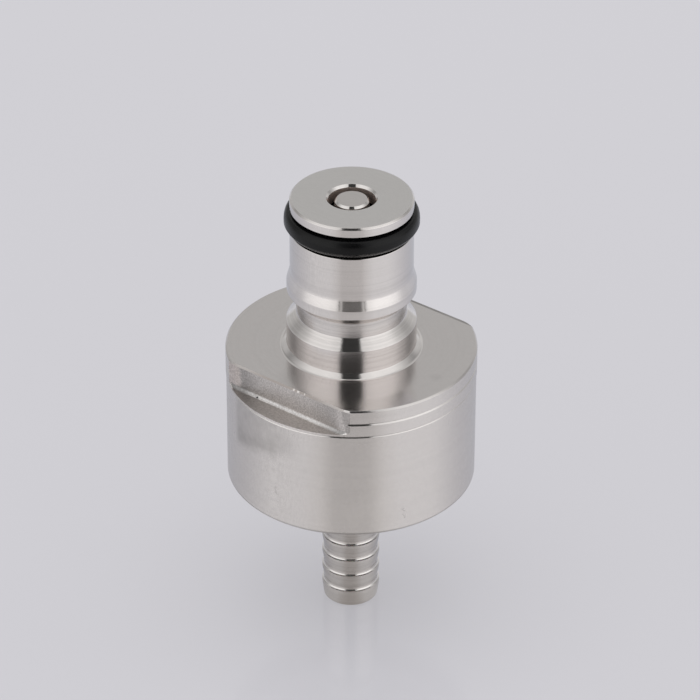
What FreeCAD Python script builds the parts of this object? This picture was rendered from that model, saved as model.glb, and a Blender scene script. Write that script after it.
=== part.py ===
"""Carbonation cap: a ball-lock post and a hose barb on a screw cap for drink bottles.

Millimetres, +Z up. The origin is the centre of the barb's lower end, on the axis of the cap.
The two wrench flats face -Y and +Y. Every turned piece is a revolved profile on that one axis.
"""
import FreeCAD, Part
import math
import os
import Sketcher
from FreeCAD import Placement, Rotation, Vector

doc = FreeCAD.newDocument("CarbonationCap")

# Driving dimensions
SIZES = {
    # Heights that set the whole
    "rim_height": 20.0,
    "cap_height": 18.75,
    "post_height": 21.4,
    # Ball-lock post, depths measured down from its top
    "flange_radius": 7.8,
    "flange_thickness": 1.3,
    "flange_chamfer": 0.23,
    "gland_width": 3.1,
    "gland_radius": 5.92,
    "barrel_radius": 7.78,
    "flare_depth": 10.3,
    "bulge_depth": 11.8,
    "bulge_radius": 8.2,
    "bulge_foot_depth": 13.0,
    "neck_radius": 7.0,
    "neck_foot_depth": 16.35,
    "collar_radius": 8.25,
    "collar_fillet": 0.85,
    # Valve hole, cone seat and chamber inside the post
    "hole_radius": 2.95,
    "hole_chamfer": 0.3,
    "throat_depth": 1.9,
    "chamber_radius": 4.7,
    "chamber_depth": 18.0,
    # Cap
    "cap_radius": 16.0,
    "skirt_relief": 0.06,
    "cap_edge": 0.2,
    "rim_chamfer": 0.25,
    "skirt_wall": 2.1,
    "bore_lead": 0.5,
    "roof_thickness": 5.5,
    "line_depth": 0.13,
    "line_top": 2.0,
    "line_pitch": 1.9,
    # Wrench flats
    "flat_depth": 2.9,
    "flat_height": 3.5,
    "flat_end_inset": 1.15,
    "flat_end_round": 4.0,
    "flat_end_lean": 30.0,
    "flat_foot_fillet": 0.45,
    # Screw joint between the cap and the barb fitting
    "screw_bore_radius": 6.4,
    "screw_gap": 0.05,
    "boss_seal_radius": 8.0,
    "boss_seal_height": 1.35,
    "fitting_top_gap": 0.4,
    # Barb fitting
    "flow_radius": 2.4,
    "cup_radius": 3.9,
    "cup_depth": 2.0,
    "washer_overlap": 0.6,
    "washer_thickness": 1.2,
    "hex_across": 14.0,
    "hex_height": 3.0,
    "shank_radius": 4.0,
    "shank_foot": 14.4,
    "crest_radius": 3.735,
    "root_radius": 3.47,
    "ridge_pitch": 2.42,
    "ridge_land": 0.45,
    "ridge_count": 5,
    "first_crest": 2.4,
    "tip_radius": 3.5,
    "tip_round": 0.3,
    # Rubber rings
    "post_ring_section": 1.3,
    "post_ring_gap": 0.02,
    "seal_section": 0.885,
    "seal_gap": 0.05,
    # Poppet
    "pin_radius": 2.185,
    "pin_recess": 0.25,
    "pin_chamfer": 0.28,
    "centre_mark_radius": 0.3,
    "centre_mark_depth": 0.15,
    "head_radius": 3.9,
    "head_thickness": 1.0,
    "pilot_radius": 2.9,
    "pilot_height": 0.8,
    "tail_radius": 1.25,
    "tail_engagement": 1.3,
    # Guide
    "guide_clearance": 0.1,
    "guide_ring_width": 1.3,
    "guide_thickness": 1.2,
    "guide_legs": 3,
    "leg_width": 1.2,
    "hub_radius": 2.0,
    "hub_height": 2.5,
    "tail_clearance": 0.2,
    # Spring
    "wire_radius": 0.35,
    "coil_clearance": 0.35,
    "coil_pitch": 1.87,
    "coil_end_gap": 0.02,
    # Gasket
    "gasket_clearance": 0.3,
    "gasket_inner_clearance": 0.6,
    "gasket_thickness": 2.0,
    "gasket_edge": 0.25,
}

sheet = doc.addObject("Spreadsheet::Sheet", "Sizes")
for row, (alias, number) in enumerate(SIZES.items(), start=1):
    sheet.set("A%d" % row, alias.replace("_", " "))
    sheet.set("B%d" % row, str(number))
    sheet.setAlias("B%d" % row, alias)
doc.recompute()


def size(name):
    """A driving dimension as an expression."""
    return "Sizes." + name


def value(expression):
    """The number that an expression over the sheet gives."""
    return float(sheet.evalExpression(expression))


# Radii that follow from others, as expressions over the sheet
SKIRT = "(Sizes.cap_radius - Sizes.skirt_relief)"
BORE = "(Sizes.cap_radius - Sizes.skirt_wall)"
WASHER = "(Sizes.boss_seal_radius + Sizes.washer_overlap)"
GUIDE = "(Sizes.chamber_radius - Sizes.guide_clearance)"
GUIDE_INNER = "(%s - Sizes.guide_ring_width)" % GUIDE
COIL = "(Sizes.pilot_radius + Sizes.coil_clearance + Sizes.wire_radius)"

# Heights of the main faces
RIM = size("rim_height")
FACE = "(%s + Sizes.cap_height)" % RIM
TOP = "(%s + Sizes.post_height)" % FACE
ROOF = "(%s - Sizes.roof_thickness)" % FACE
FITTING_TOP = "(%s - Sizes.chamber_depth - Sizes.fitting_top_gap)" % TOP
GUIDE_TOP = "(%s + Sizes.guide_thickness)" % FITTING_TOP
# The seal ring lies on the 45 degree seat, a small gap off it
SEAL_RADIUS = "(Sizes.pin_radius + Sizes.seal_section)"
SEAL_HEIGHT = ("(%s - %s + Sizes.hole_radius - Sizes.throat_depth"
               " - sqrt(2) * (Sizes.seal_section + Sizes.seal_gap))" % (TOP, SEAL_RADIUS))
HEAD_TOP = "(%s - Sizes.seal_section)" % SEAL_HEIGHT
HEAD_FOOT = "(%s - Sizes.head_thickness)" % HEAD_TOP


def below(height, *names):
    """The height that lies below another by the named sizes."""
    return "(%s - %s)" % (height, " - ".join(size(name) for name in names))


def new_body(label):
    """A body of its own at the common origin."""
    body = doc.addObject("PartDesign::Body", label.title().replace("_", ""))
    body.Label = label
    body.Placement = Placement(Vector(0, 0, 0), Rotation())
    return body


def origin_plane(body, role):
    """The body's own origin plane with this role."""
    return next(item for item in body.Origin.OriginFeatures if item.Role == role)


def new_sketch(body, name, role="XZ_Plane", height=None):
    """A sketch on one of the body's planes, lifted to a height where one is given."""
    sketch = body.newObject("Sketcher::SketchObject", name)
    sketch.AttachmentSupport = [(origin_plane(body, role), "")]
    sketch.MapMode = "FlatFace"
    if height is not None:
        sketch.setExpression("AttachmentOffset.Base.z", height)
    return sketch


def pin_point(sketch, geometry, end, across, up):
    """Hold one point of a sketch at two expressions; an across of 0 puts it on the axis."""
    if across == "0":
        sketch.addConstraint(Sketcher.Constraint("PointOnObject", geometry, end, -2))
    else:
        index = sketch.addConstraint(
            Sketcher.Constraint("DistanceX", -1, 1, geometry, end, value(across)))
        sketch.setExpression("Constraints[%d]" % index, across)
    if up == "0":
        sketch.addConstraint(Sketcher.Constraint("PointOnObject", geometry, end, -1))
    else:
        index = sketch.addConstraint(
            Sketcher.Constraint("DistanceY", -1, 1, geometry, end, value(up)))
        sketch.setExpression("Constraints[%d]" % index, up)


def bulge_point(first, last, radius):
    """The middle point of the short arc between two points, on the left for a radius above 0."""
    chord = last - first
    sagitta = abs(radius) - math.sqrt(radius ** 2 - (chord.Length / 2) ** 2)
    left = Vector(-chord.y, chord.x, 0).normalize()
    return (first + last) / 2 + left * math.copysign(sagitta, radius)


def outline(sketch, corners, arcs=None):
    """A closed outline through corners given as pairs of expressions.

    The sides are straight, but for those named in arcs: side number to (radius, side of the arc).
    """
    arcs = arcs or {}
    points = [Vector(value(across), value(up), 0) for across, up in corners]
    first = sketch.GeometryCount
    count = len(points)
    ends = []
    for index in range(count):
        start, end = points[index], points[(index + 1) % count]
        ends.append((1, 2))
        if index in arcs:
            radius, hand = arcs[index]
            middle = bulge_point(start, end, hand * value(radius))
            number = sketch.addGeometry(Part.Arc(start, middle, end), False)
            if sketch.getPoint(number, 1).distanceToPoint(start) > 1e-6:
                ends[index] = (2, 1)
        else:
            sketch.addGeometry(Part.LineSegment(start, end), False)
    for index in range(count):
        following = (index + 1) % count
        sketch.addConstraint(Sketcher.Constraint(
            "Coincident", first + index, ends[index][1], first + following, ends[following][0]))
    for index, (across, up) in enumerate(corners):
        pin_point(sketch, first + index, ends[index][0], across, up)
    for index, (radius, hand) in arcs.items():
        bound = sketch.addConstraint(
            Sketcher.Constraint("Radius", first + index, value(radius)))
        sketch.setExpression("Constraints[%d]" % bound, radius)


def circle(sketch, across, up, radius):
    """A circle with its centre and radius given as expressions."""
    centre = Vector(value(across), value(up), 0)
    index = sketch.addGeometry(Part.Circle(centre, Vector(0, 0, 1), value(radius)), False)
    if across == "0" and up == "0":
        sketch.addConstraint(Sketcher.Constraint("Coincident", index, 3, -1, 1))
    else:
        pin_point(sketch, index, 3, across, up)
    bound = sketch.addConstraint(Sketcher.Constraint("Radius", index, value(radius)))
    sketch.setExpression("Constraints[%d]" % bound, radius)


def revolve(body, name, sketch, kind="PartDesign::Revolution"):
    """Turn a profile once round the cap's axis, or cut it away with a Groove."""
    feature = body.newObject(kind, name)
    feature.Profile = sketch
    feature.ReferenceAxis = (sketch, ["V_Axis"])
    feature.Angle = 360.0
    doc.recompute()
    return feature


def turned(label, corners):
    """A body turned from one closed outline of (radius, height) corners."""
    body = new_body(label)
    sketch = new_sketch(body, label + "_profile")
    outline(sketch, corners)
    revolve(body, label + "_turned", sketch)
    return body


def ring(label, across, up, section):
    """A rubber ring of round section."""
    body = new_body(label)
    sketch = new_sketch(body, label + "_section")
    circle(sketch, across, up, section)
    revolve(body, label + "_ring", sketch)
    return body


def edges_where(body, test):
    """The names of the edges of a body's last feature that pass a test."""
    return ["Edge%d" % number
            for number, edge in enumerate(body.Tip.Shape.Edges, start=1) if test(edge)]


def dress(body, kind, name, test, amount):
    """A fillet or chamfer of a named size on the edges that pass a test."""
    base = body.Tip
    names = edges_where(body, test)
    if not names:
        raise RuntimeError("no edge found for " + name)
    feature = body.newObject(kind, name)
    feature.Base = (base, names)
    feature.setExpression("Size" if kind.endswith("Chamfer") else "Radius", amount)
    doc.recompute()
    if not feature.isValid():
        raise RuntimeError(name + " fails")
    return feature


def near(number, expression, slack=1e-4):
    """Whether a number is the value of an expression."""
    return abs(number - value(expression)) < slack


def at_height(edge, expression):
    """Whether an edge lies flat at a height."""
    box = edge.BoundBox
    return near(box.ZMin, expression) and near(box.ZMax, expression)


def is_circle(edge, radius):
    """Whether an edge is a circle or an arc of this radius about the cap's axis."""
    curve = edge.Curve
    return isinstance(curve, Part.Circle) and near(curve.Radius, radius) and \
        abs(curve.Center.x) < 1e-4 and abs(curve.Center.y) < 1e-4


def rectangle(sketch, left, right, low, high):
    """An upright rectangle between four expressions."""
    outline(sketch, [(left, low), (right, low), (right, high), (left, high)])


def pad(body, name, sketch, length):
    """A pad upwards from its sketch."""
    feature = body.newObject("PartDesign::Pad", name)
    feature.Profile = sketch
    feature.setExpression("Length", length)
    doc.recompute()
    return feature


def cut_down(body, name, sketch, depth):
    """A pocket straight down from its sketch, checked to take material away."""
    before = body.Tip.Shape.Volume
    feature = body.newObject("PartDesign::Pocket", name)
    feature.Profile = sketch
    feature.setExpression("Length", depth)
    doc.recompute()
    if not feature.Shape.Volume < before - 0.01:
        raise RuntimeError(name + " cuts nothing")
    return feature


def check_cut(feature, before):
    """Stop where a groove took nothing away."""
    if not feature.Shape.Volume < before - 0.001:
        raise RuntimeError(feature.Name + " cuts nothing")


# Cutter for one wrench flat: its foot has a fillet and its ends lean out to the cap's edge
def make_flat_cutter(label, turn):
    ledge = below(FACE, "flat_height")
    reach = "(Sizes.cap_radius + 2)"
    distance = "(Sizes.cap_radius - Sizes.flat_depth)"
    face = "(-1 * %s)" % distance
    half_length = ("(sqrt(Sizes.cap_radius * Sizes.cap_radius - %s * %s) - Sizes.flat_end_inset)"
                   % (distance, distance))
    lean = "(Sizes.flat_end_lean * 1 deg)"
    round_x = "(%s + Sizes.flat_end_round * sin(%s))" % (half_length, lean)
    round_y = "(%s + Sizes.flat_end_round * (1 - cos(%s)))" % (face, lean)
    run_out_y = "(%s + (%s - %s) * tan(%s))" % (round_y, reach, round_x, lean)
    body = new_body(label)
    body.Placement = Placement(Vector(0, 0, 0), Rotation(Vector(0, 0, 1), turn))
    right = [
        (half_length, face),
        (round_x, round_y),
        (reach, run_out_y),
        (reach, "(-1 * %s)" % reach),
    ]
    left = [("(-1 * %s)" % across, up) for across, up in reversed(right)]
    plan = {"corners": right + left,
            "arcs": {0: (size("flat_end_round"), -1), 6: (size("flat_end_round"), -1)}}
    sketch = new_sketch(body, label + "_plan", "XY_Plane", ledge)
    outline(sketch, **plan)
    pad(body, label + "_block", sketch, "Sizes.flat_height + 1")

    def is_inner_foot(edge):
        box = edge.BoundBox
        return (at_height(edge, ledge) and box.YMin > value(face) - 1e-3
                and 1e-3 < box.XLength < value(reach) * 2 - 0.1)
    dress(body, "PartDesign::Fillet", label + "_foot", is_inner_foot, size("flat_foot_fillet"))

    # The top leans out at 45 degrees, which breaks the edge of the flat like the cap's own edge
    sketch = new_sketch(body, label + "_top_plan", "XY_Plane", below(FACE, "cap_edge"))
    outline(sketch, **plan)
    top = pad(body, label + "_top", sketch, "(2 * Sizes.cap_edge)")
    top.TaperAngle = 45.0
    doc.recompute()
    return body


# Cap body: post, collar, roof and skirt turned from one bar
def make_cap_body():
    gland_top = below(TOP, "flange_thickness")
    gland_foot = below(TOP, "flange_thickness", "gland_width")
    neck_top = "(%s - Sizes.bulge_radius + Sizes.neck_radius)" % below(TOP, "bulge_foot_depth")
    collar_top = "(%s - Sizes.collar_radius + Sizes.neck_radius)" % below(TOP, "neck_foot_depth")
    lower_line = below(FACE, "line_top", "line_pitch")
    seat_foot = ("(%s - Sizes.chamber_radius + Sizes.hole_radius)" % below(TOP, "throat_depth"))
    seal_top = "(%s + Sizes.boss_seal_height)" % ROOF
    screw_top = ("(%s - Sizes.screw_bore_radius + Sizes.chamber_radius)"
                 % below(TOP, "chamber_depth"))
    body = turned("cap_body", [
        ("(Sizes.hole_radius + Sizes.hole_chamfer)", TOP),
        (below(size("flange_radius"), "flange_chamfer"), TOP),
        (size("flange_radius"), below(TOP, "flange_chamfer")),
        (size("flange_radius"), gland_top),
        (size("gland_radius"), gland_top),
        (size("gland_radius"), gland_foot),
        (size("barrel_radius"), gland_foot),
        (size("barrel_radius"), below(TOP, "flare_depth")),
        (size("bulge_radius"), below(TOP, "bulge_depth")),
        (size("bulge_radius"), below(TOP, "bulge_foot_depth")),
        (size("neck_radius"), neck_top),
        (size("neck_radius"), below(TOP, "neck_foot_depth")),
        (size("collar_radius"), collar_top),
        (size("collar_radius"), FACE),
        (below(size("cap_radius"), "cap_edge"), FACE),
        (size("cap_radius"), below(FACE, "cap_edge")),
        (size("cap_radius"), "(%s + Sizes.line_depth)" % lower_line),
        (SKIRT, "(%s - Sizes.line_depth)" % lower_line),
        (SKIRT, "(%s + Sizes.rim_chamfer)" % RIM),
        (below(SKIRT, "rim_chamfer"), RIM),
        ("(%s + Sizes.bore_lead)" % BORE, RIM),
        (BORE, "(%s + Sizes.bore_lead)" % RIM),
        (BORE, ROOF),
        (size("boss_seal_radius"), ROOF),
        (size("boss_seal_radius"), seal_top),
        (size("screw_bore_radius"), seal_top),
        (size("screw_bore_radius"), screw_top),
        (size("chamber_radius"), below(TOP, "chamber_depth")),
        (size("chamber_radius"), seat_foot),
        (size("hole_radius"), below(TOP, "throat_depth")),
        (size("hole_radius"), below(TOP, "hole_chamfer")),
    ])
    dress(body, "PartDesign::Fillet", "collar_fillet",
          lambda edge: at_height(edge, FACE) and is_circle(edge, size("collar_radius")),
          size("collar_fillet"))

    # Two wrench flats, cut from the cap's face down to a ledge just above the lower turned line
    before = body.Tip.Shape.Volume
    cutters = [make_flat_cutter("flat_cutter_front", 0), make_flat_cutter("flat_cutter_back", 180)]
    flats = body.newObject("PartDesign::Boolean", "wrench_flats")
    flats.setObjects(cutters)
    flats.Type = "Cut"
    body.Tip = flats
    doc.recompute()
    check_cut(flats, before)

    # Fine turned lines round the shoulder
    sketch = new_sketch(body, "line_section")
    middle = below(FACE, "line_top")
    lip = "(Sizes.cap_radius + Sizes.line_depth)"
    outline(sketch, [
        (below(size("cap_radius"), "line_depth"), middle),
        (lip, "(%s + 2 * Sizes.line_depth)" % middle),
        (lip, "(%s - 2 * Sizes.line_depth)" % middle),
    ])
    before = body.Tip.Shape.Volume
    line = revolve(body, "shoulder_line", sketch, "PartDesign::Groove")
    check_cut(line, before)
    lines = body.newObject("PartDesign::LinearPattern", "shoulder_lines")
    lines.Originals = [line]
    lines.Direction = (sketch, ["V_Axis"])
    lines.Reversed = True
    lines.setExpression("Length", size("line_pitch"))
    lines.Occurrences = 2
    body.Tip = lines
    doc.recompute()
    check_cut(lines, line.Shape.Volume)
    return body


# Barb fitting: screw, washer face, hexagon, shank and hose ridges
def make_barb_fitting():
    washer_foot = below(ROOF, "washer_thickness")
    hex_foot = below(ROOF, "washer_thickness", "hex_height")
    screw_radius = below(size("screw_bore_radius"), "screw_gap")
    shoulder = "(Sizes.crest_radius - Sizes.root_radius)"
    screw_taper = "(Sizes.screw_bore_radius - Sizes.chamber_radius)"
    cup_floor = below(FITTING_TOP, "cup_depth")
    cup_foot = "(%s - Sizes.cup_radius + Sizes.flow_radius)" % cup_floor
    body = turned("barb_fitting", [
        (size("flow_radius"), "0"),
        (size("tip_radius"), "0"),
        (size("crest_radius"), below(size("first_crest"), "ridge_land")),
        (size("crest_radius"), size("first_crest")),
        (size("root_radius"), "(Sizes.first_crest + %s)" % shoulder),
        (size("root_radius"), below(size("shank_foot"), "ridge_land")),
        (size("shank_radius"), size("shank_foot")),
        (size("shank_radius"), hex_foot),
        (WASHER, hex_foot),
        (WASHER, ROOF),
        (screw_radius, ROOF),
        (screw_radius, "(%s - %s)" % (FITTING_TOP, screw_taper)),
        ("(%s - %s)" % (screw_radius, screw_taper), FITTING_TOP),
        (size("cup_radius"), FITTING_TOP),
        (size("cup_radius"), cup_floor),
        (size("flow_radius"), cup_foot),
    ])
    dress(body, "PartDesign::Fillet", "tip_round",
          lambda edge: at_height(edge, "0") and is_circle(edge, size("tip_radius")),
          size("tip_round"))

    # The hexagon is what is left inside six flats of the round blank
    sketch = new_sketch(body, "hexagon", "XY_Plane", washer_foot)
    circle(sketch, "0", "0", "(%s + 1)" % WASHER)
    half = "(Sizes.hex_across / 2)"
    side = "(Sizes.hex_across / 2 / sqrt(3))"
    outer = "(Sizes.hex_across / sqrt(3))"
    outline(sketch, [
        (side, half),
        ("(-1 * %s)" % side, half),
        ("(-1 * %s)" % outer, "0"),
        ("(-1 * %s)" % side, "(-1 * %s)" % half),
        (side, "(-1 * %s)" % half),
        (outer, "0"),
    ])
    cut_down(body, "hexagon_flats", sketch, size("hex_height"))

    # The ridges above the lowest one, which is part of the blank: a 45 degree shoulder
    # facing up, a land and a cone down to the next shoulder
    sketch = new_sketch(body, "ridge_section")
    crest = "(Sizes.first_crest + Sizes.ridge_pitch)"
    next_shoulder = "(Sizes.first_crest + %s)" % shoulder
    outline(sketch, [
        (below(size("root_radius"), "ridge_land"), next_shoulder),
        (size("root_radius"), next_shoulder),
        (size("crest_radius"), below(crest, "ridge_land")),
        (size("crest_radius"), crest),
        (size("root_radius"), "(%s + %s)" % (crest, shoulder)),
        (below(size("root_radius"), "ridge_land"), "(%s + %s)" % (crest, shoulder)),
    ])
    ridge = revolve(body, "hose_ridge", sketch)
    ridges = body.newObject("PartDesign::LinearPattern", "hose_ridges")
    ridges.Originals = [ridge]
    ridges.Direction = (sketch, ["V_Axis"])
    ridges.setExpression("Length", "Sizes.ridge_pitch * (Sizes.ridge_count - 2)")
    ridges.setExpression("Occurrences", "Sizes.ridge_count - 1")
    body.Tip = ridges
    doc.recompute()
    return body


# Poppet stem: pin, head under the seal, spring pilot and tail
def make_poppet_stem():
    pin_top = below(TOP, "pin_recess")
    pilot_foot = below(HEAD_FOOT, "pilot_height")
    tail_foot = "(%s + Sizes.hub_height - Sizes.tail_engagement)" % FITTING_TOP
    return turned("poppet_stem", [
        ("0", tail_foot),
        (below(size("tail_radius"), "pin_chamfer"), tail_foot),
        (size("tail_radius"), "(%s + Sizes.pin_chamfer)" % tail_foot),
        (size("tail_radius"), pilot_foot),
        (size("pilot_radius"), pilot_foot),
        (size("pilot_radius"), HEAD_FOOT),
        (size("head_radius"), HEAD_FOOT),
        (size("head_radius"), HEAD_TOP),
        (size("pin_radius"), HEAD_TOP),
        (size("pin_radius"), below(pin_top, "pin_chamfer")),
        (below(size("pin_radius"), "pin_chamfer"), pin_top),
        (size("centre_mark_radius"), pin_top),
        ("0", below(pin_top, "centre_mark_depth")),
    ])


# Poppet guide: a ring on the fitting's rim, three legs and a hub with a hole for the tail
def make_poppet_guide():
    body = new_body("poppet_guide")
    sketch = new_sketch(body, "guide_ring", "XY_Plane", FITTING_TOP)
    circle(sketch, "0", "0", GUIDE)
    circle(sketch, "0", "0", GUIDE_INNER)
    pad(body, "ring_pad", sketch, size("guide_thickness"))
    sketch = new_sketch(body, "guide_leg", "XY_Plane", FITTING_TOP)
    middle = "((%s + %s) / 2)" % (GUIDE, GUIDE_INNER)
    rectangle(sketch, "(-1 * Sizes.leg_width / 2)", "(Sizes.leg_width / 2)",
              "(Sizes.hub_radius / 2)", middle)
    leg = pad(body, "leg_pad", sketch, size("guide_thickness"))
    legs = body.newObject("PartDesign::PolarPattern", "leg_pattern")
    legs.Originals = [leg]
    legs.Axis = (sketch, ["N_Axis"])
    legs.Angle = 360.0
    legs.setExpression("Occurrences", size("guide_legs"))
    body.Tip = legs
    doc.recompute()
    sketch = new_sketch(body, "guide_hub", "XY_Plane", FITTING_TOP)
    circle(sketch, "0", "0", size("hub_radius"))
    pad(body, "hub_pad", sketch, size("hub_height"))
    sketch = new_sketch(body, "tail_hole", "XY_Plane", "(%s + Sizes.hub_height)" % FITTING_TOP)
    circle(sketch, "0", "0", "(Sizes.tail_radius + Sizes.tail_clearance)")
    cut_down(body, "tail_bore", sketch, size("hub_height"))
    return body


# Poppet spring: round wire, a closed coil at each end and open coils between them
def make_poppet_spring():
    body = new_body("poppet_spring")
    foot = "(%s + Sizes.wire_radius + Sizes.coil_end_gap)" % GUIDE_TOP
    head = "(%s - Sizes.wire_radius - Sizes.coil_end_gap)" % HEAD_FOOT
    height = "(%s - %s)" % (head, foot)
    sections = {}
    for name, middle in (("lower_coil", foot), ("open_coils", foot), ("upper_coil", head)):
        sections[name] = new_sketch(body, name + "_wire")
        circle(sections[name], COIL, middle, size("wire_radius"))
    revolve(body, "lower_coil", sections["lower_coil"])
    coils = body.newObject("PartDesign::AdditiveHelix", "open_coils")
    coils.Profile = sections["open_coils"]
    coils.ReferenceAxis = (sections["open_coils"], ["V_Axis"])
    coils.Mode = 2
    coils.setExpression("Height", height)
    coils.setExpression("Turns", "round(%s / Sizes.coil_pitch)" % height)
    doc.recompute()
    revolve(body, "upper_coil", sections["upper_coil"])
    return body


# Gasket: a flat ring under the roof with its two outer corners broken
def make_bottle_gasket():
    foot = below(ROOF, "gasket_thickness")
    outer = "(%s - Sizes.gasket_clearance)" % BORE
    inner = "(%s + Sizes.gasket_inner_clearance)" % WASHER
    return turned("bottle_gasket", [
        (inner, foot),
        (below(outer, "gasket_edge"), foot),
        (outer, "(%s + Sizes.gasket_edge)" % foot),
        (outer, below(ROOF, "gasket_edge")),
        (below(outer, "gasket_edge"), ROOF),
        (inner, ROOF),
    ])


pieces = [
    make_cap_body(),
    ring("post_o_ring", "(Sizes.gland_radius + Sizes.post_ring_section)",
         "(%s + Sizes.post_ring_section + Sizes.post_ring_gap)"
         % below(TOP, "flange_thickness", "gland_width"),
         size("post_ring_section")),
    make_poppet_stem(),
    ring("poppet_seal", SEAL_RADIUS, SEAL_HEIGHT, size("seal_section")),
    make_poppet_spring(),
    make_poppet_guide(),
    make_barb_fitting(),
    ring("barb_o_ring", "((Sizes.screw_bore_radius + Sizes.boss_seal_radius) / 2)",
         "(%s + Sizes.boss_seal_height / 2)" % ROOF, "(Sizes.boss_seal_height / 2)"),
    make_bottle_gasket(),
]

doc.recompute()
failed = [item.Name for item in doc.Objects if {"Invalid", "Error"} & set(item.State)]
if failed:
    raise RuntimeError("failed: " + ", ".join(failed))
os.makedirs("parts", exist_ok=True)
for piece in pieces:
    shape = piece.Shape
    if shape.isNull() or not shape.isValid() or len(shape.Solids) != 1:
        raise RuntimeError("bad shape: " + piece.Label)
for piece in pieces:
    piece.Shape.exportStep("parts/%s.step" % piece.Label)
    print(piece.Label, round(piece.Shape.Volume, 2), "mm3")
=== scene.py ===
import math

import bpy
from mathutils import Matrix, Vector


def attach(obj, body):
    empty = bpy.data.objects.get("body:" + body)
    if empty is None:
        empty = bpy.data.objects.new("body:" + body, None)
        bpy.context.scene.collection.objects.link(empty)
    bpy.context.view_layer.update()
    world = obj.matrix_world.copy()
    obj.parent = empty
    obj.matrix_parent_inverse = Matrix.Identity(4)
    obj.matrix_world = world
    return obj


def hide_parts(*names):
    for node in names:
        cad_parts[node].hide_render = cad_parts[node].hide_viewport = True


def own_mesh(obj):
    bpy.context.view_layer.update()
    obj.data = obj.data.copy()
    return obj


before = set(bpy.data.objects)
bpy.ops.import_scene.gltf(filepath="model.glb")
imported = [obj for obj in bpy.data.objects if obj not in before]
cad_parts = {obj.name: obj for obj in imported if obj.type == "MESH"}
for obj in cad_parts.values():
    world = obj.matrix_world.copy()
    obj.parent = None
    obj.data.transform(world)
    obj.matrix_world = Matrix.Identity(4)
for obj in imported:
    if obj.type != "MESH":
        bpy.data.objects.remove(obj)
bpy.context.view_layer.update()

# Sizes in millimetres. Every piece is modelled in millimetres and made metres when it is
# finished.

# Cap: heights of its rim, face and top, of the roof's underside and of the flat's ledge
RIM, FACE, TOP = 20.0, 38.75, 60.15
ROOF, LEDGE = FACE - 5.5, FACE - 3.5
CAP_RADIUS, SKIRT_RADIUS, BORE_RADIUS = 16.0, 15.94, 13.9
UPPER_LINE, LOWER_LINE, GROOVE = FACE - 2.0, FACE - 3.9, 0.16
FLAT_DISTANCE, FLAT_HALF_LENGTH = 13.1, 8.04
RIM_CHAMFER, BORE_CHAMFER = 0.25, 0.5

# Ball-lock post, from its flange down to the slope at the collar's foot
FLANGE_RADIUS, FLANGE_CHAMFER, BARREL_RADIUS = 7.8, 0.23, 7.78
GLAND_TOP, GLAND_FOOT, GLAND_RADIUS = TOP - 1.3, TOP - 4.4, 5.92
FLARE_TOP, BULGE_TOP, BULGE_FOOT, BULGE_RADIUS = TOP - 10.3, TOP - 11.8, TOP - 13.0, 8.2
NECK_TOP, NECK_FOOT, NECK_RADIUS = BULGE_FOOT - 1.2, TOP - 16.35, 7.0
SHOULDER_FOOT, COLLAR_RADIUS = NECK_FOOT - 1.25, 8.25
SLOPE_TOP, SLOPE_RADIUS = FACE + 0.62, 8.95

# Valve hole and chamber, and the screw joint below them
HOLE_RADIUS, HOLE_CHAMFER, THROAT_FOOT = 2.95, 0.3, TOP - 1.9
CHAMBER_RADIUS, CONE_FOOT, CHAMBER_FOOT = 4.7, TOP - 3.65, TOP - 18.0
SCREW_RADIUS, SCREW_GAP, BOSS_RADIUS, BOSS_HEIGHT = 6.4, 0.05, 8.0, 1.35

# Poppet, from its tip down
PIN_TIP, PIN_RADIUS, POPPET_CHAMFER = TOP - 0.25, 2.185, 0.28
HEAD_TOP, HEAD_FOOT, HEAD_RADIUS = 55.923, 54.923, 3.9
PILOT_FOOT, PILOT_RADIUS = 54.123, 2.9
STEM_FOOT, STEM_RADIUS = 42.95, 1.25

# Barb fitting, from its tip up
FLOW_RADIUS, TIP_RADIUS = 2.4, 3.5
CREST_RADIUS, ROOT_RADIUS, RIDGE_LAND = 3.735, 3.47, 0.45
FIRST_CREST, RIDGE_PITCH, RIDGES = 2.4, 2.42, 5
SHANK_FOOT, SHANK_RADIUS = 14.4, 4.0
HEXAGON_FOOT, HEXAGON_ACROSS, CORE_RADIUS = ROOF - 4.2, 14.0, 6.9
WASHER_FOOT, WASHER_RADIUS = ROOF - 1.2, 8.6
CUP_TOP, CUP_FOOT, CUP_RADIUS = 41.75, 39.75, 3.9

# Rubber ring, gasket, spring and bottle thread
RING_CENTRE, RING_HEIGHT, RING_SECTION = 7.22, GLAND_FOOT + 1.45, 1.3
GASKET_FOOT, GASKET_INSIDE, GASKET_OUTSIDE = ROOF - 2.0, 9.2, 13.6
SPRING_FOOT, SPRING_HEAD, COILS = 43.32, 54.553, 6
COIL_RADIUS, WIRE_RADIUS = 3.6, 0.35
THREAD_FOOT, THREAD_PITCH, THREAD_TURNS = 22.6, 2.7, 1.75
THREAD_ROOT, THREAD_CREST = 14.0, 12.8

# Degrees of turn over which the thread fades out at each end, and the steps of a turned piece
THREAD_FADE, STEPS = 25, 256


# Camera

# Degrees round and up, metres from the target, and the length of the lens
AZIMUTH, ELEVATION, DISTANCE, LENS = 37.8, 32.56, 0.5131, 207.7
TARGET = Vector((0, 0, 0.03762))
# How far the aim stands beside the target, in metres, and how far the picture leans, in degrees
BESIDE, LEAN = 0.00018, 0.17


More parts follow.
